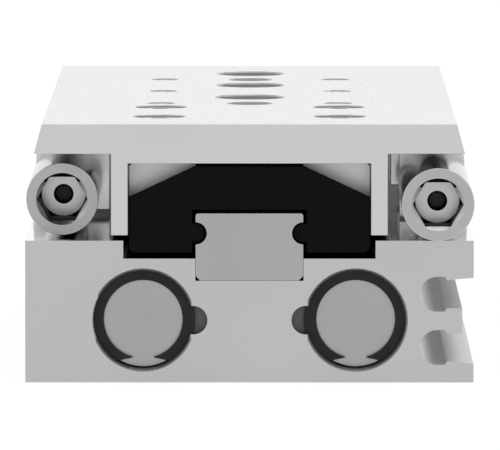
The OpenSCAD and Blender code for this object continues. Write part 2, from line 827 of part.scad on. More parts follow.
module retract_lock_sleeve() color([0.7, 0.7, 0.71])
    lock_sleeve(stop_x, retract_sleeve_y, retract_block_y, retract_absorber_y);

module advance_lock_sleeve() color([0.7, 0.7, 0.71])
    lock_sleeve(-stop_x, advance_sleeve_in, advance_bracket_y, advance_absorber_y);

// A shock absorber body with its end hexagon at y and its plunger bore in front
module shock_absorber(x, y) {
    r = absorber_d / 2;
    y1 = y + absorber_l;
    plunger_bore_l = plunger_inside + plunger_travel + plunger_bore_spare;
    difference() {
        turned_bar(r, y, y1, x, stop_z, rear = absorber_edge, front = absorber_edge);
        hex_bar(absorber_socket, y - cut, y + absorber_socket_l, x, stop_z);
        taper(absorber_mouth_r + cut, absorber_mouth_r - absorber_mouth_l,
            y - cut, y + absorber_mouth_l, x, stop_z);
        bar(plunger_d / 2 + running_gap, y1 - plunger_bore_l, y1 + cut, x, stop_z);
    }
}

module retract_shock_absorber() color([0.6, 0.6, 0.61])
    shock_absorber(stop_x, retract_absorber_y);

module advance_shock_absorber() color([0.6, 0.6, 0.61])
    shock_absorber(-stop_x, advance_absorber_y);

// A cushion plunger whose body front is at y
module plunger(x, y)
    turned_bar(plunger_d / 2, y - plunger_inside, y + plunger_travel, x, stop_z,
        front = plunger_edge);

module retract_plunger() color([0.8, 0.8, 0.82])
    plunger(stop_x, retract_absorber_front);

module advance_plunger() color([0.8, 0.8, 0.82])
    plunger(-stop_x, advance_absorber_front);

module advance_strike_block() color([0.76, 0.76, 0.77])
    difference() {
        profile(strike_y, strike_y + strike_l)
            polygon([
                [-side_x, stop_seat_z], [-bracket_x, stop_seat_z],
                [-bracket_x, strike_top], [block_lean - side_x, strike_top],
            ]);
        translate([strike_screw_x, rear_y + strike_screw_y, strike_screw_sink])
            rotate([180, 0, 0])
                screw_hole(M5, strike_screw_l, cut, cut);
    }

module strike_block_screw() color([0.2, 0.2, 0.21])
    translate([strike_screw_x, rear_y + strike_screw_y, strike_screw_sink])
        rotate([180, 0, 0]) cap_screw(M5, strike_screw_l);

module retract_striker() color([0.76, 0.76, 0.77])
    difference() {
        block(bracket_x, flange_w / 2 - striker_side_gap, striker_y, striker_y + striker_l,
            striker_z, flange_z);
        for (y = striker_screw_ys)
            translate([striker_screw_x, rear_y + y, flange_z - foot_screw_l + flange_grip])
                rotate([180, 0, 0])
                    screw_hole(M4_LOW, foot_screw_l, foot_screw_l, flange_z - striker_z);
    }

module striker_screws() color([0.2, 0.2, 0.21])
    for (y = striker_screw_ys)
        translate([striker_screw_x, rear_y + y, flange_z - foot_screw_l + flange_grip])
            rotate([180, 0, 0]) cap_screw(M4_LOW, foot_screw_l);

// ---------- table ----------

module table_outline() {
    lean = flange_t * tan(flange_lean);
    polygon([
        [-flange_w / 2 + lean, table_top], [flange_w / 2 - lean, table_top],
        [flange_w / 2, flange_z], [leg_w / 2, flange_z], [leg_w / 2, leg_z],
        [channel_w / 2, leg_z], [channel_w / 2, carriage_top],
        [-channel_w / 2, carriage_top], [-channel_w / 2, leg_z],
        [-leg_w / 2, leg_z], [-leg_w / 2, flange_z], [-flange_w / 2, flange_z],
    ]);
}

// A hole from the table's top face with a chamfered mouth
module table_hole(x, y, d, depth, chamfer)
    translate([x, rear_y + y, table_top]) {
        translate([0, 0, -depth]) cylinder(d = d, h = depth + cut);
        translate([0, 0, -chamfer])
            cylinder(d1 = d, d2 = d + 4 * chamfer, h = 2 * chamfer);
    }

// A blind M4 thread in the underside of a flange
module flange_thread(x, y)
    translate([x, rear_y + y, flange_z - cut])
        cylinder(d = thread(M4) + 2 * fit_gap, h = flange_thread_l + cut);

module slide_table() color([0.82, 0.82, 0.83])
    difference() {
        profile(0, table_l) table_outline();
        for (row = [0 : 2], x = [-0.5, 0.5])
            table_hole(x * table_thread_w, table_thread_y + row * table_thread_pitch,
                table_thread_d, table_t + cut, thread_chamfer);
        for (row = [0, 2])
            table_hole(0, table_thread_y + row * table_thread_pitch, centring_d,
                centring_depth, edge_chamfer);
        for (y = [for (i = [1 : rail_screw_count - 1]) rail_screw_ys[i]])
            table_hole(0, y, access_d, table_t + cut, access_chamfer);
        for (p = table_screw_places) {
            table_hole(p[0], p[1], table_screw_bore, table_screw_sink, edge_chamfer);
            table_hole(p[0], p[1], thread(M5) + 2 * hole_clear, table_t + cut, edge_chamfer);
        }
        for (x = yoke_screw_x)
            bar(thread(M3) / 2 + fit_gap, table_l - yoke_thread_l, table_l + cut,
                x, yoke_screw_z);
        for (side = [-1, 1])
            bar(dowel_d / 2, table_l - dowel_hole_l, table_l + cut,
                side * dowel_x, dowel_z);
        for (y = bracket_screw_ys) flange_thread(bracket_screw_x, y);
        for (y = striker_screw_ys) flange_thread(striker_screw_x, y);
    }

module table_screws() color([0.45, 0.45, 0.46])
    for (p = table_screw_places)
        translate([p[0], rear_y + p[1], table_top - table_screw_sink])
            cap_screw(M5, table_screw_l);

// ---------- carriage ----------

// Cross-section of the carriage block over the rail
module carriage_outline() {
    half = carriage_w / 2;
    inner = rail_w / 2 + carriage_gap;
    roof = rail_top + carriage_gap;
    chamfer = 0.8;
    shoulder = 1.5;
    difference() {
        polygon([
            [-half + chamfer, carriage_bottom], [-inner, carriage_bottom], [-inner, roof],
            [inner, roof], [inner, carriage_bottom], [half - chamfer, carriage_bottom],
            [half, carriage_bottom + chamfer], [half, carriage_top - shoulder],
            [half - shoulder, carriage_top], [-half + shoulder, carriage_top],
            [-half, carriage_top - shoulder], [-half, carriage_bottom + chamfer],
        ]);
        for (side = [-1, 1]) {
            translate([side * inner, groove_z]) circle(r = ball_groove_r);
            translate([side * (ball_row_x + ball_return), groove_z])
                circle(r = ball_groove_r);
        }
    }
}

module carriage_block() color([0.62, 0.62, 0.63])
    difference() {
        profile(block_y, block_y + carriage_block_l) carriage_outline();
        for (p = table_screw_places)
            translate([p[0], rear_y + p[1], carriage_top - carriage_thread_l])
                cylinder(d = thread(M5) + 2 * fit_gap, h = carriage_thread_l + cut);
    }

// Cross-section of an end cap or wiper, with its flat top at top_z
module cap_outline(top_z) {
    half = end_cap_w / 2;
    inner = rail_w / 2 + carriage_gap;
    roof = rail_top + carriage_gap;
    chamfer = 0.9;
    shoulder = top_z - cap_shoulder_drop;
    polygon([
        [-half + chamfer, carriage_bottom], [-inner, carriage_bottom], [-inner, roof],
        [inner, roof], [inner, carriage_bottom], [half - chamfer, carriage_bottom],
        [half, carriage_bottom + chamfer], [half, shoulder], [cap_flat_half, top_z],
        [-cap_flat_half, top_z], [-half, shoulder], [-half, carriage_bottom + chamfer],
    ]);
    for (side = [-1, 1])
        translate([side * (rail_w / 2 - groove_inset), groove_z])
            circle(r = ball_groove_r - carriage_gap / 2);
}

// The shoulders lie lower than the wiper's, with a flat pad standing between them
module end_cap(y) color([0.09, 0.09, 0.1])
    profile(y, y + end_cap_t) {
        cap_outline(carriage_top - wiper_top_gap - cap_setback);
        translate([-cap_flat_half, rail_top + carriage_gap])
            square([2 * cap_flat_half, cap_pad_top - rail_top - carriage_gap]);
    }

module wiper_seal(y) color([0.07, 0.07, 0.08])
    profile(y, y + wiper_t) cap_outline(carriage_top - wiper_top_gap);

// The loaded row and the return row of balls on one side
module carriage_balls(side) color([0.8, 0.8, 0.82]) {
    pitch = 2 * ball_r + ball_gap;
    count = floor(carriage_block_l / pitch);
    first = block_mid - (count - 1) / 2 * pitch;
    for (x = [ball_row_x, ball_row_x + ball_return], i = [0 : count - 1])
        translate([side * x, rear_y + first + i * pitch, groove_z])
            sphere(r = ball_r);
}

// ---------- yoke ----------

module yoke_plate() color([0.8, 0.8, 0.81]) {
    y0 = table_l;
    y1 = y0 + yoke_t;
    top = table_top - yoke_top_drop;
    edge = 1.5;
    difference() {
        profile(y0, y1)
            polygon([
                [-flange_w / 2 + edge, yoke_floor_gap], [flange_w / 2 - edge, yoke_floor_gap],
                [flange_w / 2, yoke_floor_gap + edge], [flange_w / 2, flange_z],
                [flange_w / 2 - edge, top], [-flange_w / 2 + edge, top],
                [-flange_w / 2, flange_z], [-flange_w / 2, yoke_floor_gap + edge],
            ]);
        for (side = [-1, 1]) {
            x = side * cylinder_x;
            bar(rod_d / 2 + fit_gap, y0 - cut, y0 + rod_seat_l, x, cylinder_z);
            bar(thread(M5) / 2 + hole_clear, y0, y1 + cut, x, cylinder_z);
            bar(head_d(M5) / 2 + head_clear, y1 - rod_screw_sink, y1 + cut, x, cylinder_z);
            bar(dowel_d / 2, y0 - cut, y0 + dowel_hole_l, side * dowel_x, dowel_z);
        }
        for (x = yoke_screw_x) {
            bar(thread(M3) / 2 + hole_clear, y0 - cut, y1 + cut, x, yoke_screw_z);
            bar(head_d(M3) / 2 + yoke_head_clear, y1 - yoke_screw_sink, y1 + cut,
                x, yoke_screw_z);
        }
    }
}

// A cap screw along the stroke with its head to the front
module screw_to_rear(s, l, x, y, z)
    translate([x, rear_y + y, z])
        rotate([-90, 0, 0]) cap_screw(s, l);

module yoke_screws() color([0.2, 0.2, 0.21])
    for (x = yoke_screw_x)
        screw_to_rear(M3, yoke_screw_l, x, table_l + yoke_t - yoke_screw_sink, yoke_screw_z);

module yoke_dowels() color([0.7, 0.7, 0.72])
    for (side = [-1, 1])
        bar(dowel_d / 2 - fit_gap, table_l - dowel_l / 2, table_l + dowel_l / 2,
            side * dowel_x, dowel_z);

module rod_screws() color([0.2, 0.2, 0.21])
    for (side = [-1, 1])
        screw_to_rear(M5, rod_screw_l, side * cylinder_x,
            table_l + yoke_t - rod_screw_sink, cylinder_z);

// ---------- one line per node ----------

housing();
guide_rail();
rail_screws();
rear_cap(left);  // rear_cap_left
rear_cap(right);  // rear_cap_right
o_ring(left, rear_cap_y + o_ring_inset);  // rear_cap_o_ring_left
o_ring(right, rear_cap_y + o_ring_inset);  // rear_cap_o_ring_right
circlip(left, circlip_inset);  // rear_circlip_left
circlip(right, circlip_inset);  // rear_circlip_right
rod_gland(left);  // rod_gland_left
rod_gland(right);  // rod_gland_right
o_ring(left, gland_y + o_ring_inset);  // gland_o_ring_left
o_ring(right, gland_y + o_ring_inset);  // gland_o_ring_right
rod_seal(left);  // rod_seal_left
rod_seal(right);  // rod_seal_right
circlip(left, gland_front);  // front_circlip_left
circlip(right, gland_front);  // front_circlip_right
retract_stop_block();
retract_block_screws();
retract_lock_sleeve();
retract_shock_absorber();
retract_plunger();
advance_strike_block();
strike_block_screw();
slide_table();
table_screws();
carriage_block();
end_cap(carriage_inset + wiper_t);  // end_cap_rear
end_cap(block_y + carriage_block_l);  // end_cap_front
wiper_seal(carriage_inset);  // wiper_seal_rear
wiper_seal(block_y + carriage_block_l + end_cap_t);  // wiper_seal_front
carriage_balls(left);  // carriage_balls_left
carriage_balls(right);  // carriage_balls_right
yoke_plate();
yoke_screws();
yoke_dowels();
rod_screws();
piston_rod(left);  // piston_rod_left
piston_rod(right);  // piston_rod_right
piston(left);  // piston_left
piston(right);  // piston_right
piston_nut(left);  // piston_nut_left
piston_nut(right);  // piston_nut_right
piston_magnet(left);  // piston_magnet_left
piston_magnet(right);  // piston_magnet_right
piston_seals(left);  // piston_seals_left
piston_seals(right);  // piston_seals_right
advance_stop_bracket();
advance_bracket_screws();
advance_lock_sleeve();
advance_shock_absorber();
advance_plunger();
retract_striker();
striker_screws();
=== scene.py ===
"""Pneumatic slide table with a twin-bore housing, a ball rail guide, a table and cushioned stops."""

import json
import math

import bpy
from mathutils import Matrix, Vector

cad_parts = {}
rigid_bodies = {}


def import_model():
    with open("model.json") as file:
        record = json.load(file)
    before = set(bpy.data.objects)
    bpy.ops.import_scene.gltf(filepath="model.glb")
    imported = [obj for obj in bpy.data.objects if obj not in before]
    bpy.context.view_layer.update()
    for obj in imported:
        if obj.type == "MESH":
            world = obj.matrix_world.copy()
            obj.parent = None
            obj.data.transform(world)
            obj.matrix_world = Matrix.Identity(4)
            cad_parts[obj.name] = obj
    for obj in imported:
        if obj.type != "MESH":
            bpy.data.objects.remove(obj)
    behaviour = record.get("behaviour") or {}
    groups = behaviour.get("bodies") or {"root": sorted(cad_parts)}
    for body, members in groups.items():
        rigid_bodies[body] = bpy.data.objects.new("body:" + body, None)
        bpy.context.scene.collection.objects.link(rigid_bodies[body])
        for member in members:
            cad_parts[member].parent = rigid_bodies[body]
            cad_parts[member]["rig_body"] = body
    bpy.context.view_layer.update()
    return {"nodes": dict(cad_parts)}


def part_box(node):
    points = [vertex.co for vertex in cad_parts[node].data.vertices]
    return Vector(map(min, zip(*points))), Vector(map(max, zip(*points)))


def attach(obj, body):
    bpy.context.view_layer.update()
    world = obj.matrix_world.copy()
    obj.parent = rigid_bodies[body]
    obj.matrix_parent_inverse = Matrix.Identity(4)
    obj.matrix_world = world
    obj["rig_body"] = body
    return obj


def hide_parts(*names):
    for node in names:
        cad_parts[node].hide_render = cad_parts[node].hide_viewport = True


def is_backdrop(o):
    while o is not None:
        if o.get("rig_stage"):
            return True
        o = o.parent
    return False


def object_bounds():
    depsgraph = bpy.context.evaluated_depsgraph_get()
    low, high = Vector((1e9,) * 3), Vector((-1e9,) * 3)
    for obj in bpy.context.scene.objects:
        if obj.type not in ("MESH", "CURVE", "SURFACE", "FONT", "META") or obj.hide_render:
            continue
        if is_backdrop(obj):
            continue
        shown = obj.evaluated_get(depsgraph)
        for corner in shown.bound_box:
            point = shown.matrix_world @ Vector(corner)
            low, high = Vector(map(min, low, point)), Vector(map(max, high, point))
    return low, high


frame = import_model()
nodes = frame["nodes"]

bl_info = {
    "name": "Pneumatic Slide Table",
    "version": (1, 0, 0),
    "blender": (4, 5, 0),
    "location": "View3D > Sidebar > Slide Table",
    "description": "Builds a compact pneumatic slide table with its finishes and studio",
    "category": "Add Mesh",
}

MM = 0.001


def linear(code):
    """Linear colour of an sRGB hex code."""
    parts = [int(code[i : i + 2], 16) / 255 for i in (0, 2, 4)]
    return tuple(p / 12.92 if p <= 0.04045 else ((p + 0.055) / 1.055) ** 2.4 for p in parts)


def colour(name, description, code):
    """A colour that a user can change, from its sRGB hex code."""
    return bpy.props.FloatVectorProperty(
        name=name,
        description=description,
        subtype="COLOR",
        size=3,
        min=0.0,
        max=1.0,
        default=linear(code),
    )


def length(name, description, mm):
    """A length that a user can change, from its millimetres."""
    return bpy.props.FloatProperty(
        name=name,
        description=description,
        unit="LENGTH",
        min=0.0,
        precision=5,
        default=mm * MM,
    )


# ---------- sizes and colours ----------


class SlideTableSizes(bpy.types.PropertyGroup):
    milled_edge: length("Milled edge break", "Width of the broken edges of the housing and stops", 0.18)
    table_edge: length("Table edge break", "Width of the broken edges on the table and yoke", 0.1)
    rail_edge: length("Rail edge break", "Width of the stoned edges on the rail", 0.3)
    ground_edge: length("Carriage edge break", "Width of the stoned edges on the carriage", 0.1)
    moulded_edge: length("Moulded edge radius", "Rounding of the edges of moulded parts", 0.12)
    stamped_edge: length("Fine edge radius", "Rounding of the retaining rings, caps and glands", 0.03)
    sleeve_hex: length("Sleeve hexagon", "Width across flats of a locking sleeve's socket", 8.45)
    sleeve_rim: length("Sleeve rim", "Rounding of a locking sleeve's outer edges", 0.12)
    sleeve_mouth: length("Sleeve mouth", "Diameter of the chamfered mouth of the socket", 10.05)
    absorber_nose: length("Absorber nose", "Diameter of a shock absorber's flat end", 8.85)
    absorber_socket: length("Absorber socket", "Width across flats of its adjusting socket", 3.0)
    absorber_thread: length("Thread pitch", "Pitch of the fine thread on a shock absorber", 1.0)
    thread_depth: length("Thread depth", "Depth of the fine thread on a shock absorber", 0.55)


class SlideTableColours(bpy.types.PropertyGroup):
    housing: colour("Housing", "Clear anodised extruded aluminium of the housing", "B8B8B9")
    table: colour("Table", "Clear anodised milled aluminium of the table and yoke", "C6C6C6")
    stop: colour("Stops", "Clear anodised milled aluminium of the stops", "CACACB")
    # The slots' colour is the housing's anodised aluminium made lighter: painted light inside the
    # slots, where shade falls.
    slot: colour("Slots", "Clear anodised aluminium inside the sensor slots", "D8D8DA")
    seat: colour("Seats", "Clear anodised aluminium of the milled seats", "C0C0C1")
    # The underside colour is the table's aluminium made much darker: painted shade under the table and
    # yoke.
    underside: colour("Underside", "Clear anodised aluminium of the table's underside", "7E7E80")
    drilled: colour("Drilled holes", "Bare aluminium of drilled and tapped holes", "B4B4B6")
    # Much darker than the drilled holes: painted shade in the housing's bores and pockets.
    bored: colour("Housing bores", "Bare aluminium of the bores and pockets in the housing", "707072")
    rail: colour("Rail", "Ground bearing steel of the rail", "A6A6A8")
    # The carriage's colour is the rail's ground steel made lighter: painted light on the carriage,
    # which sits in shade under the table and behind the end caps.
    carriage: colour("Carriage", "Ground bearing steel of the carriage", "C8C8C9")
    cap: colour("Cylinder caps", "Turned aluminium of the caps and pistons", "A3A3A4")
    sleeve: colour("Locking sleeves", "Polished nickel-plated steel of the locking sleeves", "C4C3C8")
    mouth: colour("Sleeve mouths", "Nickel-plated steel of the countersunk mouths", "CACACD")
    sleeve_face: colour("Sleeve faces", "Bead-blasted steel of the sleeves' end faces", "AFAFB0")
    absorber: colour("Shock absorbers", "Zinc-plated steel of the absorbers and screws", "B2B2B2")
    # Nearly black: painted shade inside the sleeves' hexagon sockets, not the colour of the steel.
    hollow: colour("Sleeve sockets", "Broached and oiled steel in the sleeves' hexagons", "0C0C0D")
    # Dark grey: painted shade inside the absorbers' sockets, not the colour of the steel.
    socket: colour("Sockets", "Broached and oiled steel inside the absorbers' sockets", "3A3A3C")
    chrome: colour("Rods and plungers", "Hard chrome of the rods, plungers and balls", "D2D4D8")
    plastic: colour("End caps", "Moulded black acetal of the carriage's end caps", "1A1A1B")
    rubber: colour("Seals", "Moulded nitrile rubber of the seals and wipers", "141415")
    ring: colour("Retaining rings", "Phosphated spring steel of the retaining rings", "262628")
    screw: colour("Socket screws", "Black oxide on the socket screws", "2B2B2E")
    bronze: colour("Rod glands", "Turned bronze of the rod glands", "B08D57")
    magnet: colour("Magnets", "Sintered ferrite of the pistons' magnet rings", "3A3A3D")


# ---------- materials ----------


def add(tree, kind, inputs=None, **settings):
    """Adds one node with its settings, and its inputs as numbers or as links."""
    made = tree.nodes.new(kind)
    for name, value in settings.items():
        setattr(made, name, value)
    for name, value in (inputs or {}).items():
        if isinstance(value, bpy.types.NodeSocket):
            tree.links.new(value, made.inputs[name])
        else:
            made.inputs[name].default_value = value
    return made


def new_finish(name):
    """An empty material and its node tree."""
    material = bpy.data.materials.new(name)
    material.use_nodes = True
    material.node_tree.nodes.clear()
    return material, material.node_tree


def grain(tree, size, detail=3.0):
    """Noise from 0 to 1 whose marks are size metres long in X, Y and Z."""
    place = add(tree, "ShaderNodeTexCoord").outputs["Object"]
    scaled = add(tree, "ShaderNodeMapping", {"Vector": place, "Scale": [1 / s for s in size]})
    noise = {"Vector": scaled.outputs["Vector"], "Scale": 1.0, "Detail": detail, "Roughness": 0.55}
    return add(tree, "ShaderNodeTexNoise", noise).outputs["Fac"]


def even(size):
    """The same size in X, Y and Z, for marks with no direction."""
    return (size, size, size)


def tint(tree, rgb, value, low, high):
    """The colour, darker at low and lighter at high along the pattern."""
    ends = [(*[min(1.0, c * factor) for c in rgb], 1.0) for factor in (low, high)]
    inputs = {"Factor": value, "A": ends[0], "B": ends[1]}
    return add(tree, "ShaderNodeMix", inputs, data_type="RGBA").outputs["Result"]


def surface(tree, material, rgb, tone, marks, bump, fixed):
    """Closes a material with one Principled shader.

    tone is a pattern and the two factors of the colour along it, marks a pattern and the two values
    of the roughness along it, bump a pattern and its height in metres, and fixed the other inputs.
    Noise seldom leaves its middle half, so that half is spread over the whole range.
    """
    middle = {"From Min": 0.25, "From Max": 0.75}
    cloud, darker, lighter = tone
    shade = add(tree, "ShaderNodeMapRange", {"Value": cloud, **middle, "To Min": 0.0, "To Max": 1.0})
    texture, smooth, rough = marks
    haze = add(
        tree, "ShaderNodeMapRange", {"Value": texture, **middle, "To Min": smooth, "To Max": rough}
    )
    height, depth = bump
    relief = add(tree, "ShaderNodeBump", {"Height": height, "Strength": 1.0, "Distance": depth})
    inputs = {
        "Base Color": tint(tree, rgb, shade.outputs["Result"], darker, lighter),
        "Roughness": haze.outputs["Result"],
        "Normal": relief.outputs["Normal"],
        **fixed,
    }
    shader = add(tree, "ShaderNodeBsdfPrincipled", inputs)
    add(tree, "ShaderNodeOutputMaterial", {"Surface": shader.outputs["BSDF"]})
    return material


def extruded_aluminium(name, rgb, roughness):
    """Clear anodised extrusion: faint die lines along the profile over the fine etch of the bath."""
    material, tree = new_finish(name)
    lines = grain(tree, (0.5 * MM, 60 * MM, 0.5 * MM))
    etch = grain(tree, even(0.25 * MM), detail=1.0)
    cloud = grain(tree, (18 * MM, 30 * MM, 18 * MM), detail=1.0)
    both = add(tree, "ShaderNodeMath", {0: lines, 1: etch}, operation="ADD").outputs["Value"]
    tone = (cloud, 0.975, 1.025)
    marks = (lines, roughness * 0.88, roughness * 1.12)
    return surface(tree, material, rgb, tone, marks, (both, 0.0012 * MM), {"Metallic": 1.0})


def milled_aluminium(name, rgb, roughness, relief):
    """Face-milled and clear anodised: an even satin with a very fine grain and slow clouds of tone."""
    material, tree = new_finish(name)
    passes = grain(tree, (0.35 * MM, 12 * MM, 0.35 * MM), detail=2.0)
    etch = grain(tree, even(0.22 * MM), detail=1.0)
    cloud = grain(tree, (25 * MM, 40 * MM, 25 * MM), detail=1.0)
    both = add(tree, "ShaderNodeMath", {0: passes, 1: etch}, operation="ADD").outputs["Value"]
    tone = (cloud, 0.98, 1.02)
    marks = (passes, roughness * 0.88, roughness * 1.12)
    return surface(tree, material, rgb, tone, marks, (both, relief), {"Metallic": 1.0})


def ground_steel(name, rgb, roughness):
    """Bearing steel ground along the slide: straight scratches with a silky shine across them."""
    material, tree = new_finish(name)
    scratches = grain(tree, (0.18 * MM, 25 * MM, 0.18 * MM), detail=4.0)
    cloud = grain(tree, (10 * MM, 30 * MM, 10 * MM), detail=1.0)
    tone = (cloud, 0.97, 1.03)
    marks = (scratches, roughness * 0.8, roughness * 1.2)
    return surface(tree, material, rgb, tone, marks, (scratches, 0.002 * MM), {"Metallic": 1.0})


def turned_metal(name, rgb, roughness, feed, axis):
    """Turned on a lathe: rings of tool marks round the axis (x, z), on the left as on the right.

    The rings are drawn coarser than the real feed so that they show.
    """
    material, tree = new_finish(name)
    place = add(tree, "ShaderNodeTexCoord").outputs["Object"]
    parts = add(tree, "ShaderNodeSeparateXYZ", {"Vector": place}).outputs
    side = add(tree, "ShaderNodeMath", {0: parts["X"]}, operation="ABSOLUTE").outputs["Value"]
    x = add(tree, "ShaderNodeMath", {0: side, 1: axis[0]}, operation="SUBTRACT").outputs["Value"]
    z = add(tree, "ShaderNodeMath", {0: parts["Z"], 1: axis[1]}, operation="SUBTRACT").outputs["Value"]
    out = add(tree, "ShaderNodeCombineXYZ", {"X": x, "Z": z}).outputs["Vector"]
    far = add(tree, "ShaderNodeVectorMath", {0: out}, operation="LENGTH").outputs["Value"]
    turns = add(tree, "ShaderNodeMath", {0: far, 1: math.tau / feed}, operation="MULTIPLY")
    rings = add(tree, "ShaderNodeMath", {0: turns.outputs["Value"]}, operation="SINE")
    cloud = grain(tree, even(6 * MM), detail=2.0)
    tone = (cloud, 0.96, 1.04)
    marks = (cloud, roughness * 0.9, roughness * 1.1)
    bump = (rings.outputs["Value"], 0.0006 * MM)
    return surface(tree, material, rgb, tone, marks, bump, {"Metallic": 1.0})


def polished_metal(name, rgb, roughness, edge=1.0):
    """Polished and plated: nearly a mirror, with a soft haze and a few hairlines round the bar.

    edge is how bright it stays at a grazing angle.
    """
    material, tree = new_finish(name)
    hairs = grain(tree, (12 * MM, 0.15 * MM, 12 * MM), detail=4.0)
    haze = grain(tree, (5 * MM, 9 * MM, 5 * MM), detail=2.0)
    tone = (haze, 0.98, 1.02)
    marks = (haze, roughness * 0.8, roughness * 1.3)
    fixed = {"Metallic": 1.0, "Specular Tint": (edge, edge, edge, 1.0)}
    return surface(tree, material, rgb, tone, marks, (hairs, 0.0004 * MM), fixed)


def moulded_plastic(name, rgb):
    """Injection-moulded acetal: black with the low sheen of a spark-eroded mould."""
    material, tree = new_finish(name)
    spark = grain(tree, even(0.3 * MM), detail=2.0)
    flow = grain(tree, even(9 * MM), detail=1.0)
    fixed = {"IOR": 1.48, "Specular IOR Level": 0.1}
    bump = (spark, 0.006 * MM)
    return surface(tree, material, rgb, (flow, 0.85, 1.15), (spark, 0.48, 0.6), bump, fixed)


def moulded_rubber(name, rgb):
    """Moulded nitrile rubber: matt black with a dusty bloom."""
    material, tree = new_finish(name)
    bloom = grain(tree, even(1.5 * MM))
    fixed = {"IOR": 1.52, "Specular IOR Level": 0.08}
    bump = (bloom, 0.004 * MM)
    return surface(tree, material, rgb, (bloom, 0.8, 1.25), (bloom, 0.62, 0.78), bump, fixed)


def dark_steel(name, rgb, roughness):
    """Steel under thin black oxide or phosphate: dark, slightly oily, with very fine crystals."""
    material, tree = new_finish(name)
    crystals = grain(tree, even(0.2 * MM), detail=2.0)
    oil = grain(tree, even(3 * MM), detail=2.0)
    tone = (oil, 0.85, 1.15)
    marks = (crystals, roughness * 0.85, roughness * 1.15)
    return surface(tree, material, rgb, tone, marks, (crystals, 0.004 * MM), {"Metallic": 0.75})


def drilled_aluminium(name, rgb):
    """Drilled and left bare, with torn marks round the hole; darker than the anodised faces, and in the
    housing's bores and pockets that darkness is painted shade.
    """
    material, tree = new_finish(name)
    torn = grain(tree, (0.8 * MM, 0.8 * MM, 0.15 * MM))
    bump = (torn, 0.003 * MM)
    fixed = {"Metallic": 1.0}
    return surface(tree, material, rgb, (torn, 0.92, 1.08), (torn, 0.52, 0.64), bump, fixed)


def broached_steel(name, rgb, roughness):
    """Broached and oiled inside, with drag marks along the socket; its nearly black colour is painted
    shade in the hollow.
    """
    material, tree = new_finish(name)
    drag = grain(tree, (0.25 * MM, 4 * MM, 0.25 * MM))
    marks = (drag, roughness * 0.85, roughness * 1.15)
    bump = (drag, 0.004 * MM)
    return surface(tree, material, rgb, (drag, 0.7, 1.4), marks, bump, {"Metallic": 0.9})


def blasted_steel(name, rgb):
    """Bead-blasted before plating: an even matt grey made of dimples too fine to count."""
    material, tree = new_finish(name)
    beads = grain(tree, even(0.12 * MM), detail=2.0)
    cloud = grain(tree, even(4 * MM), detail=1.0)
    bump = (beads, 0.003 * MM)
    fixed = {"Metallic": 1.0}
    return surface(tree, material, rgb, (cloud, 0.97, 1.03), (beads, 0.4, 0.5), bump, fixed)


def sintered_magnet(name, rgb):
    """Sintered ferrite: charcoal grey, dull and granular."""
    material, tree = new_finish(name)
    grit = grain(tree, even(0.4 * MM))
    bump = (grit, 0.01 * MM)
    return surface(tree, material, rgb, (grit, 0.8, 1.2), (grit, 0.6, 0.75), bump, {})


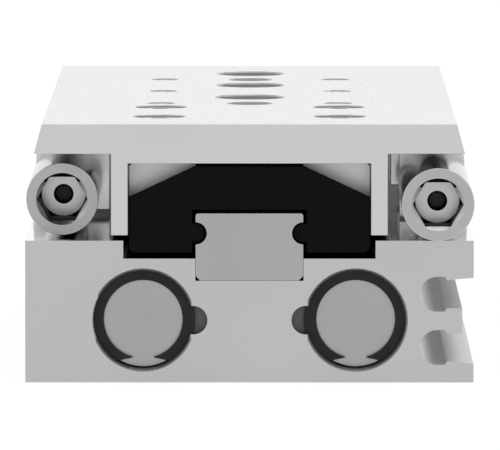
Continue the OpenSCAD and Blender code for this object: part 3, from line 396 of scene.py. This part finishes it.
def finish(kind):
    """The material for a record's slot or for one kind of face, made when it is first asked for."""
    colours = bpy.context.scene.slide_table_colours
    cylinder = centre_line("rear_cap_right")[0]
    stop = centre_line("retract_lock_sleeve")[0]
    # Height of the marks that a cutter leaves, and the pitch of those from a lathe
    fine_cut, plain_cut, countersunk = 0.0002 * MM, 0.0009 * MM, 0.0004 * MM
    fine_feed, plain_feed = 0.4 * MM, 0.5 * MM
    recipes = {
        "housing_aluminium": (extruded_aluminium, "extruded_anodised_aluminium", colours.housing, 0.12),
        "housing_slots_painted_light": (extruded_aluminium, "extruded_anodised_aluminium_slot", colours.slot, 0.45),
        "housing_ends": (
            milled_aluminium, "milled_anodised_aluminium_housing", colours.housing, 0.26, fine_cut
        ),
        "housing_seats": (
            milled_aluminium, "face_milled_anodised_aluminium_seat", colours.seat, 0.1, fine_cut
        ),
        "table_aluminium": (
            milled_aluminium, "milled_anodised_aluminium", colours.table, 0.22, plain_cut
        ),
        "table_underside_painted_shade": (
            milled_aluminium, "milled_anodised_aluminium_underside", colours.underside, 0.3, plain_cut
        ),
        "stop_aluminium": (
            milled_aluminium, "milled_anodised_aluminium_stop", colours.stop, 0.15, plain_cut
        ),
        "drilled": (drilled_aluminium, "drilled_bare_aluminium", colours.drilled),
        "bored": (drilled_aluminium, "bored_bare_aluminium", colours.bored),
        "bore_chamfers": (
            milled_aluminium, "countersunk_anodised_aluminium", colours.housing, 0.32, countersunk
        ),
        "rail_steel": (ground_steel, "ground_bearing_steel_rail", colours.rail, 0.3),
        "carriage_steel": (ground_steel, "ground_bearing_steel_carriage", colours.carriage, 0.34),
        "cap_aluminium": (
            turned_metal, "turned_aluminium_cap", colours.cap, 0.34, plain_feed, cylinder
        ),
        "piston_aluminium": (
            turned_metal, "turned_aluminium_piston", colours.cap, 0.3, plain_feed, cylinder
        ),
        "gland_bronze": (
            turned_metal, "turned_bronze_gland", colours.bronze, 0.28, fine_feed, cylinder
        ),
        "absorber_steel": (
            turned_metal, "turned_zinc_plated_steel", colours.absorber, 0.24, fine_feed, stop
        ),
        "bright_sleeve": (polished_metal, "polished_nickel_plated_steel", colours.sleeve, 0.08, 0.72),
        "sleeve_mouth": (polished_metal, "countersunk_nickel_plated_steel", colours.mouth, 0.25),
        "sleeve_face": (blasted_steel, "bead_blasted_nickel_plated_steel", colours.sleeve_face),
        "sleeve_socket": (broached_steel, "broached_oiled_steel_sleeve", colours.hollow, 0.6),
        "socket": (broached_steel, "broached_oiled_steel", colours.socket, 0.45),
        "hard_chrome": (polished_metal, "polished_hard_chrome", colours.chrome, 0.07),
        "screw_bright": (polished_metal, "bright_zinc_plated_steel", colours.absorber, 0.25),
        "black_plastic": (moulded_plastic, "moulded_black_acetal", colours.plastic),
        "wiper_rubber": (moulded_rubber, "moulded_wiper_rubber", colours.rubber),
        "seal_rubber": (moulded_rubber, "moulded_nitrile_rubber", colours.rubber),
        "spring_steel": (dark_steel, "phosphated_spring_steel", colours.ring, 0.42),
        "screw_black": (dark_steel, "black_oxide_steel", colours.screw, 0.36),
        "magnet": (sintered_magnet, "sintered_ferrite_magnet", colours.magnet),
    }
    make, name, *values = recipes[kind]
    return bpy.data.materials.get(name) or make(name, *values)


# ---------- modelling ----------

SIDES = ("left", "right")
WAYS = ("retract", "advance")
# Points that are closer than this are merged
SAME_PLACE = 1e-7
# Faces that meet at less than these angles are joined to one, or shaded as one
FLAT_ANGLE = math.radians(0.6)
SMOOTH_ANGLE = math.radians(32)


def slot_of(node):
    """The record's material slot of a node."""
    return nodes[node].material_slots[0].name.split(".")[0]


def centre_line(node):
    """Centre (x, z), both ends (y0, y1) and radius of a round node that lies along Y."""
    low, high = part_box(node)
    return ((low.x + high.x) / 2, (low.z + high.z) / 2), low.y, high.y, (high.x - low.x) / 2


def from_axis(face, axis):
    """How far a face's centre is from an axis (x, z) along Y."""
    return math.hypot(face.center.x - axis[0], face.center.z - axis[1])


def only(piece):
    """Makes the piece the only one that is selected, and active."""
    bpy.ops.object.select_all(action="DESELECT")
    piece.select_set(True)
    bpy.context.view_layer.objects.active = piece


def settle(piece, node):
    """Smooths the piece, puts it on the node's body in the node's place and hides the node."""
    only(piece)
    bpy.ops.object.transform_apply(location=True, rotation=True, scale=True)
    bpy.ops.object.shade_smooth_by_angle(angle=SMOOTH_ANGLE)
    weighted = piece.modifiers.new("normals", "WEIGHTED_NORMAL")
    weighted.keep_sharp = True
    bpy.ops.object.modifier_apply(modifier=weighted.name)
    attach(piece, nodes[node]["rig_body"])
    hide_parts(node)


def edge_broken(node, made, width, sharp=50, shortest=0.0, shape=None):
    """A copy of the node's mesh with its sharp edges broken, named for the way it is made.

    sharp is the least angle in degrees of an edge that is broken. Edges up to shortest stay as
    they are, and shape moves the points first.
    """
    piece = bpy.data.objects.new(f"{node}_{made}", nodes[node].data.copy())
    bpy.context.scene.collection.objects.link(piece)
    piece.data.materials.clear()
    piece.data.materials.append(finish(slot_of(node)))
    only(piece)
    bpy.ops.object.mode_set(mode="EDIT")
    bpy.ops.mesh.select_all(action="SELECT")
    bpy.ops.mesh.remove_doubles(threshold=SAME_PLACE)
    bpy.ops.mesh.dissolve_limited(angle_limit=FLAT_ANGLE)
    bpy.ops.object.mode_set(mode="OBJECT")
    if shape:
        for point in piece.data.vertices:
            shape(point.co)
    bpy.ops.object.mode_set(mode="EDIT")
    bpy.ops.mesh.select_all(action="DESELECT")
    bpy.ops.mesh.select_mode(type="EDGE")
    bpy.ops.mesh.edges_select_sharp(sharpness=math.radians(sharp))
    bpy.ops.object.mode_set(mode="OBJECT")
    points = piece.data.vertices
    for edge in piece.data.edges:
        a, b = (points[v].co for v in edge.vertices)
        edge.select = edge.select and (a - b).length > shortest
    bpy.ops.object.mode_set(mode="EDIT")
    bpy.ops.mesh.bevel(offset=width, segments=3, affect="EDGES", clamp_overlap=True)
    bpy.ops.object.mode_set(mode="OBJECT")
    return piece


def refinish(piece, kind, chosen):
    """Gives the chosen faces another finish."""
    piece.data.materials.append(finish(kind))
    for face in piece.data.polygons:
        if chosen(face):
            face.material_index = len(piece.data.materials) - 1


def turned(name, axis, outline, segments=96):
    """A closed turned piece: a disc that is extruded and scaled along (y, radius) pairs."""
    x, z = axis
    (y, r), *steps = outline
    bpy.ops.object.select_all(action="DESELECT")
    bpy.ops.mesh.primitive_circle_add(
        vertices=segments,
        radius=r,
        fill_type="NGON",
        location=(x, y, z),
        rotation=(math.pi / 2, 0, 0),
    )
    piece = bpy.context.active_object
    piece.name = name
    bpy.ops.object.mode_set(mode="EDIT")
    bpy.ops.mesh.select_all(action="SELECT")
    for next_y, next_r in steps:
        bpy.ops.mesh.extrude_region_move(TRANSFORM_OT_translate={"value": (0, next_y - y, 0)})
        growth = next_r / r
        bpy.ops.transform.resize(value=(growth, 1, growth), center_override=(x, next_y, z))
        y, r = next_y, next_r
    bpy.ops.mesh.select_all(action="SELECT")
    bpy.ops.mesh.normals_make_consistent(inside=False)
    bpy.ops.object.mode_set(mode="OBJECT")
    bpy.ops.object.transform_apply(location=True, rotation=True, scale=True)
    return piece


def rounded(y, r, edge, way):
    """Outline points of a rounded outer edge at y.

    way is 1 where the piece starts there and -1 where it ends.
    """
    turns = [math.radians(a) for a in (90, 60, 30, 0)]
    points = [(y + way * edge * (1 - math.sin(t)), r - edge * (1 - math.cos(t))) for t in turns]
    return points if way > 0 else points[::-1]


def hexagon(axis, across_flats, y0, y1):
    """A hexagon bar along Y with flats above and below."""
    x, z = axis
    bpy.ops.object.select_all(action="DESELECT")
    bpy.ops.mesh.primitive_cylinder_add(
        vertices=6,
        radius=across_flats / math.sqrt(3),
        depth=y1 - y0,
        location=(x, (y0 + y1) / 2, z),
        rotation=(math.pi / 2, math.pi / 6, 0),
    )
    bpy.ops.object.transform_apply(location=True, rotation=True, scale=True)
    return bpy.context.active_object


def cut_away(piece, cutter):
    """Cuts the cutter out of the piece and deletes it."""
    only(piece)
    cut = piece.modifiers.new("cut", "BOOLEAN")
    cut.operation = "DIFFERENCE"
    cut.solver = "EXACT"
    cut.object = cutter
    bpy.ops.object.modifier_apply(modifier=cut.name)
    bpy.data.objects.remove(cutter, do_unlink=True)


# ---------- operators ----------


class Housing(bpy.types.Operator):
    """Breaks the housing's edges, gives its ends, seats and bore chamfers their finishes, paints light
    into its slots and paints shade into its bores and pockets
    """

    bl_idname = "slide_table.housing"
    bl_label = "Housing"

    def execute(self, context):
        piece = edge_broken("housing", "extruded", context.scene.slide_table_sizes.milled_edge)
        low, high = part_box("housing")
        middle = (low.z + high.z) / 2
        side_skin, slot_reach, slots_bottom, slots_top = 0.05 * MM, 10.6 * MM, 2 * MM, 22 * MM
        end_skin, chamfer = 0.03 * MM, 0.49 * MM
        # Each hollow is an axis and how far from it its walls may be
        bore_reach, pocket_reach, pocket_x = 10.2 * MM, 2.9 * MM, 10.8 * MM
        axes = [centre_line(f"rear_cap_{side}")[0] for side in SIDES]
        hollows = [(axis, bore_reach) for axis in axes]
        hollows += [((math.copysign(pocket_x, x), z), pocket_reach) for x, z in axes]

        def seat(face):
            return face.normal.z > 0.9 and face.center.z > middle

        def in_slot(face):
            return (
                high.x - slot_reach < face.center.x < high.x - side_skin
                and low.z + slots_bottom < face.center.z < low.z + slots_top
                and abs(face.normal.y) < 0.5
            )

        def sawn(face):
            return abs(face.normal.y) > 0.9

        def inside(face, depth=end_skin):
            near = min(from_axis(face, axis) - reach for axis, reach in hollows)
            return near < 0 and low.y + depth < face.center.y < high.y - depth

        def countersink(face):
            return 0.4 < abs(face.normal.y) < 0.9 and inside(face) and not inside(face, chamfer)

        refinish(piece, "housing_seats", seat)
        # Painted light: the faces inside the sensor slots take a lighter copy of the housing's colour.
        refinish(piece, "housing_slots_painted_light", in_slot)
        refinish(piece, "housing_ends", sawn)
        # Painted shade: the walls and floors of the bores and pockets take the dark bored colour.
        refinish(piece, "bored", inside)
        refinish(piece, "bore_chamfers", countersink)
        settle(piece, "housing")
        return {"FINISHED"}


class Table(bpy.types.Operator):
    """Breaks the edges of the table and the yoke, paints shade on their undersides and finishes their
    holes
    """

    bl_idname = "slide_table.table"
    bl_label = "Table and Yoke"

    def execute(self, context):
        edge, shortest = context.scene.slide_table_sizes.table_edge, 2 * MM
        widest_facet, legs_reach, middle_row = 1.2 * MM, 30 * MM, 8 * MM

        def narrow(piece, face, seen):
            corners = [piece.data.vertices[v].co for v in face.vertices]
            flat = [Vector([getattr(corner, axis) for axis in seen]) for corner in corners]
            return max((a - b).length for a in flat for b in flat) < widest_facet

        def below(face):
            return face.normal.z < -0.9

        def leg_side(face):
            return abs(face.normal.x) > 0.9 and abs(face.center.x) < legs_reach

        def upright_wall(face):
            return abs(face.normal.z) < 0.05

        # The rims of the middle holes that face -Y take the drilled finish too: its roughness is real,
        # and its darker colour there is painted shade in place of their highlight.
        def middle_rim(face):
            near = abs(face.center.x) < middle_row
            return near and abs(face.normal.z) < 0.8 and face.normal.y < -0.45

        def level_wall(face):
            return abs(face.normal.y) < 0.05

        table = edge_broken("slide_table", "milled", edge, shortest=shortest)

        def table_hole(face):
            return narrow(table, face, "xy") and (upright_wall(face) or middle_rim(face))

        # Painted shade: the faces below and the inner sides of the legs take a darker copy of the
        # table's colour.
        refinish(table, "table_underside_painted_shade", lambda face: below(face) or leg_side(face))
        refinish(table, "drilled", table_hole)
        settle(table, "slide_table")

        yoke = edge_broken("yoke_plate", "milled", edge, shortest=shortest)
        refinish(yoke, "table_underside_painted_shade", below)
        refinish(yoke, "drilled", lambda face: narrow(yoke, face, "xz") and level_wall(face))
        settle(yoke, "yoke_plate")
        return {"FINISHED"}


class Stops(bpy.types.Operator):
    """Breaks the edges of the stop blocks and strikers"""

    bl_idname = "slide_table.stops"
    bl_label = "Stops"

    def execute(self, context):
        edge = context.scene.slide_table_sizes.milled_edge
        for node in (
            "retract_stop_block",
            "advance_stop_bracket",
            "advance_strike_block",
            "retract_striker",
        ):
            settle(edge_broken(node, "milled", edge), node)
        return {"FINISHED"}


class Guide(bpy.types.Operator):
    """Finishes the rail and the carriage with its end caps and wipers"""

    bl_idname = "slide_table.guide"
    bl_label = "Rail Guide"

    def execute(self, context):
        sizes = context.scene.slide_table_sizes
        rail = edge_broken("guide_rail", "ground", sizes.rail_edge, sharp=40)
        settle(rail, "guide_rail")
        block = edge_broken(
            "carriage_block", "ground", sizes.ground_edge, shape=self.carriage_shape()
        )
        settle(block, "carriage_block")
        for node in ("end_cap_rear", "end_cap_front", "wiper_seal_rear", "wiper_seal_front"):
            settle(edge_broken(node, "moulded", sizes.moulded_edge), node)
        return {"FINISHED"}

    def carriage_shape(self):
        """A function that makes the carriage fuller at its sides and its upper chamfers smaller"""
        _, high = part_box("carriage_block")
        chamfer, grow, rise, near = 1.5 * MM, 0.25 * MM, 0.25 * MM, 0.02 * MM

        def fuller(point):
            side = math.copysign(1, point.x)
            if abs(point.x) > high.x - near:
                point.x += side * grow
                if abs(point.z - high.z + chamfer) < near:
                    point.z += rise
            elif abs(point.z - high.z) < near and abs(abs(point.x) - high.x + chamfer) < near:
                point.x += side * (grow + rise)

        return fuller


class CylinderEnds(bpy.types.Operator):
    """Finishes the cylinder caps, glands and retaining rings"""

    bl_idname = "slide_table.cylinder_ends"
    bl_label = "Cylinder Ends"

    def execute(self, context):
        edge = context.scene.slide_table_sizes.stamped_edge
        for side in SIDES:
            for node in (f"rear_cap_{side}", f"rod_gland_{side}"):
                settle(edge_broken(node, "turned", edge), node)
            for node in (f"rear_circlip_{side}", f"front_circlip_{side}"):
                settle(edge_broken(node, "stamped", edge), node)
        return {"FINISHED"}


class LockSleeves(bpy.types.Operator):
    """Turns the polished locking sleeves and broaches their hexagon sockets"""

    bl_idname = "slide_table.lock_sleeves"
    bl_label = "Locking Sleeves"

    def execute(self, context):
        for way in WAYS:
            self.sleeve(way, context.scene.slide_table_sizes)
        return {"FINISHED"}

    def sleeve(self, way, sizes):
        """One sleeve, with a hexagon socket in its rear end and the absorber's bore from there on"""
        node = f"{way}_lock_sleeve"
        axis, y0, y1, r = centre_line(node)
        _, seat, _, absorber_r = centre_line(f"{way}_shock_absorber")
        rim, mouth = sizes.sleeve_rim, sizes.sleeve_mouth / 2
        past, skin, inside_flats = MM, 0.01 * MM, 0.2 * MM
        ends = rounded(y0, r, rim, 1) + rounded(y1, r, rim, -1)
        piece = turned(f"{node}_polished", axis, ends)
        piece.data.materials.append(finish("bright_sleeve"))
        cut_away(piece, hexagon(axis, sizes.sleeve_hex, y0 - past, seat))
        inner = sizes.sleeve_hex / 2 - inside_flats
        cone = [(y0 - past, mouth + past), (y0 + mouth - inner, inner)]
        cut_away(piece, turned("mouth", axis, cone))
        bore = [(seat - skin, absorber_r), (y1 + past, absorber_r)]
        cut_away(piece, turned("bore", axis, bore))

        def end_face(face):
            return face.normal.y < -0.99 and face.center.y < y0 + skin

        def countersink(face):
            return -0.9 < face.normal.y < -0.5 and from_axis(face, axis) < mouth

        # Painted shade: the upper half of each mouth's countersink, facing down, takes the nearly black
        # socket colour while the lower half stays bright.
        def upper_countersink_painted_shade(face):
            return countersink(face) and face.normal.z < -0.5

        # Painted shade: the flats of the hexagon socket take the nearly black socket colour.
        def flat(face):
            within = face.center.y < seat and from_axis(face, axis) < mouth
            return within and abs(face.normal.y) < 0.1

        refinish(piece, "sleeve_face", end_face)
        refinish(piece, "sleeve_mouth", countersink)
        refinish(piece, "sleeve_socket", upper_countersink_painted_shade)
        refinish(piece, "sleeve_socket", flat)
        settle(piece, node)


class ShockAbsorbers(bpy.types.Operator):
    """Turns the shock absorbers, threads their front ends and adds the plungers"""

    bl_idname = "slide_table.shock_absorbers"
    bl_label = "Shock Absorbers"

    def execute(self, context):
        for way in WAYS:
            axis = centre_line(f"{way}_shock_absorber")[0]
            self.absorber(way, axis, context.scene.slide_table_sizes)
            self.plunger(way, axis)
        return {"FINISHED"}

    def outline(self, node, sizes):
        """A flat rounded nose, a cone, a plain body, a fine thread and a chamfered collar"""
        _, y0, y1, r = centre_line(node)
        nose_rounding, cone_end = 0.2 * MM, 1.8 * MM
        turns, pitch, root = 24, sizes.absorber_thread, r - sizes.thread_depth
        collar, collar_r, collar_step, edge = 2.2 * MM, r - 0.8 * MM, 0.3 * MM, 0.65 * MM
        start = y1 - collar - turns * pitch
        points = rounded(y0, sizes.absorber_nose / 2, nose_rounding, 1)
        points += [(y0 + cone_end, r), (start, r)]
        for turn in range(turns):
            y = start + turn * pitch
            points += [(y + pitch * 0.4, root), (y + pitch * 0.55, root)]
            points += [(y + pitch * 0.95, r), (y + pitch, r)]
        points += [(y1 - collar + collar_step, collar_r), (y1 - edge, collar_r)]
        points.append((y1, collar_r - edge))
        return points

    def absorber(self, way, axis, sizes):
        """One absorber with its adjusting socket behind and the plunger's bore in front"""
        node = f"{way}_shock_absorber"
        _, y0, y1, _ = centre_line(node)
        _, plunger_end, _, plunger_r = centre_line(f"{way}_plunger")
        past, socket, mouth, mouth_depth = MM, 4.5 * MM, 1.93 * MM, 0.6 * MM
        chamber, gap, skin, behind_nose = 8.5 * MM, 0.05 * MM, 0.1 * MM, MM
        piece = turned(f"{node}_turned", axis, self.outline(node, sizes), 72)
        piece.data.materials.append(finish("absorber_steel"))
        cut_away(piece, hexagon(axis, sizes.absorber_socket, y0 - past, y0 + socket))
        cone = [(y0 - past, mouth + past), (y0 + mouth_depth, mouth - mouth_depth)]
        cut_away(piece, turned("mouth", axis, cone, 48))
        bore = [(plunger_end - chamber, plunger_r + gap), (y1 + past, plunger_r + gap)]
        cut_away(piece, turned("bore", axis, bore, 48))

        # Painted shade: the walls and floor of the adjusting socket take the dark socket colour.
        def in_socket(face):
            within = face.center.y < y0 + socket + skin and from_axis(face, axis) < mouth
            return within and (face.normal.y > -0.99 or face.center.y > y0 + behind_nose)

        refinish(piece, "socket", in_socket)
        settle(piece, node)

    def plunger(self, way, axis):
        """One plunger with a domed end, on its absorber's axis"""
        node = f"{way}_plunger"
        _, y0, y1, r = centre_line(node)
        dome = 0.7 * MM
        rod = turned(f"{node}_domed", axis, [(y0, r)] + rounded(y1, r, dome, -1), 48)
        rod.data.materials.append(finish(slot_of(node)))
        settle(rod, node)


class InnerParts(bpy.types.Operator):
    """Gives every carried-over part its finish"""

    bl_idname = "slide_table.inner_parts"
    bl_label = "Inner Parts"

    def execute(self, context):
        for node in nodes.values():
            for slot in node.material_slots:
                slot.material = finish(slot.name.split(".")[0])
        return {"FINISHED"}


WHITE = (1, 1, 1, 1)


def seen_or_mirrored(tree):
    """1 for rays from the camera or from gloss, and 0 for those that light the part."""
    rays = add(tree, "ShaderNodeLightPath").outputs
    either = {0: rays["Is Camera Ray"], 1: rays["Is Glossy Ray"]}
    return add(tree, "ShaderNodeMath", either, operation="MAXIMUM").outputs["Value"]


class Stage(bpy.types.Operator):
    """Sets up the floor, the studio light and the camera"""

    bl_idname = "slide_table.stage"
    bl_label = "Stage"

    def execute(self, context):
        self.camera(context.scene)
        self.floor()
        self.world(context.scene)
        self.lamps(context.scene)
        context.scene.view_settings.view_transform = "Standard"
        return {"FINISHED"}

    def camera(self, scene):
        """A long lens behind the slide, a little above it"""
        data = bpy.data.cameras.new("camera")
        data.lens, data.sensor_width = 615.6, 36
        data.clip_start, data.clip_end = 0.05, 60
        camera = bpy.data.objects.new("camera", data)
        camera.location = (3.018 * MM, -1716.18 * MM, 168.34 * MM)
        camera.rotation_euler = (math.radians(85.1665), 0, math.radians(0.102))
        scene.collection.objects.link(camera)
        scene.camera = camera

    def floor(self):
        """Matt white paper that looks white and lights the part as plain paper does"""
        low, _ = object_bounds()
        bpy.ops.object.select_all(action="DESELECT")
        bpy.ops.mesh.primitive_plane_add(size=16, location=(0, 0, low.z))
        floor = bpy.context.active_object
        floor.name = "floor"
        material, tree = new_finish("matt_white_paper")
        fibres = grain(tree, even(0.6 * MM))
        grey = tint(tree, linear("B4B4B4"), fibres, 0.99, 1.01)
        paper = add(tree, "ShaderNodeBsdfDiffuse", {"Color": grey}).outputs["BSDF"]
        glow = add(tree, "ShaderNodeEmission", {"Color": WHITE, "Strength": 0.76}).outputs["Emission"]
        lit = add(tree, "ShaderNodeAddShader", {0: paper, 1: glow}).outputs["Shader"]
        mixed = add(tree, "ShaderNodeMixShader", {0: seen_or_mirrored(tree), 1: paper, 2: lit})
        add(tree, "ShaderNodeOutputMaterial", {"Surface": mixed.outputs["Shader"]})
        floor.data.materials.append(material)
        floor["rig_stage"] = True

    def world(self, scene):
        """A white dome, a little darker overhead, that lights the part with half its strength"""
        world = bpy.data.worlds.new("studio")
        world.use_nodes = True
        tree = world.node_tree
        tree.nodes.clear()
        way = add(tree, "ShaderNodeTexCoord").outputs["Generated"]
        up = add(tree, "ShaderNodeSeparateXYZ", {"Vector": way}).outputs["Z"]
        fade = {"Value": up, "From Min": 0.25, "From Max": 0.85, "To Min": 1.0, "To Max": 0.9}
        dome = add(tree, "ShaderNodeMapRange", fade).outputs["Result"]
        soft = add(tree, "ShaderNodeBackground", {"Color": WHITE, "Strength": 0.5}).outputs
        bright = add(tree, "ShaderNodeBackground", {"Color": WHITE, "Strength": dome}).outputs
        either = {0: seen_or_mirrored(tree), 1: soft["Background"], 2: bright["Background"]}
        mixed = add(tree, "ShaderNodeMixShader", either)
        add(tree, "ShaderNodeOutputWorld", {"Surface": mixed.outputs["Shader"]})
        scene.world = world

    def lamps(self, scene):
        """Softboxes that point at the part's middle"""
        aim = Vector((0, 0, 0.03))
        for name, place, size, watts in (
            ("top_softbox", (0.22, -0.1, 1.4), (1.3, 1.3), 3.6),
            ("back_softbox", (0.0, 2.2, 0.55), (2.0, 0.8), 0.9),
            ("left_softbox", (-1.3, -0.5, 0.7), (1.2, 1.2), 0.7),
            ("right_softbox", (1.3, -0.4, 0.8), (1.2, 1.2), 0.7),
        ):
            data = bpy.data.lights.new(name, "AREA")
            data.shape, data.energy = "RECTANGLE", watts
            data.size, data.size_y = size
            lamp = bpy.data.objects.new(name, data)
            lamp.location = place
            lamp.rotation_euler = (Vector(place) - aim).to_track_quat("Z", "Y").to_euler()
            scene.collection.objects.link(lamp)


STEPS = (
    Housing,
    Table,
    Stops,
    Guide,
    CylinderEnds,
    LockSleeves,
    ShockAbsorbers,
    InnerParts,
    Stage,
)


class SlideTablePanel(bpy.types.Panel):
    """Sizes, colours and steps of the slide table"""

    bl_idname = "VIEW3D_PT_slide_table"
    bl_label = "Pneumatic Slide Table"
    bl_space_type = "VIEW_3D"
    bl_region_type = "UI"
    bl_category = "Slide Table"

    def draw(self, context):
        for group in (context.scene.slide_table_sizes, context.scene.slide_table_colours):
            box = self.layout.box()
            for name in group.__annotations__:
                box.prop(group, name)
        for step in STEPS:
            self.layout.operator(step.bl_idname)


CLASSES = (SlideTableSizes, SlideTableColours, *STEPS, SlideTablePanel)


def register():
    for one in CLASSES:
        bpy.utils.register_class(one)
    bpy.types.Scene.slide_table_sizes = bpy.props.PointerProperty(type=SlideTableSizes)
    bpy.types.Scene.slide_table_colours = bpy.props.PointerProperty(type=SlideTableColours)


def unregister():
    del bpy.types.Scene.slide_table_colours
    del bpy.types.Scene.slide_table_sizes
    for one in reversed(CLASSES):
        bpy.utils.unregister_class(one)


def main():
    register()
    bpy.ops.slide_table.housing()
    bpy.ops.slide_table.table()
    bpy.ops.slide_table.stops()
    bpy.ops.slide_table.guide()
    bpy.ops.slide_table.cylinder_ends()
    bpy.ops.slide_table.lock_sleeves()
    bpy.ops.slide_table.shock_absorbers()
    bpy.ops.slide_table.inner_parts()
    bpy.ops.slide_table.stage()


if __name__ == "__main__":
    main()
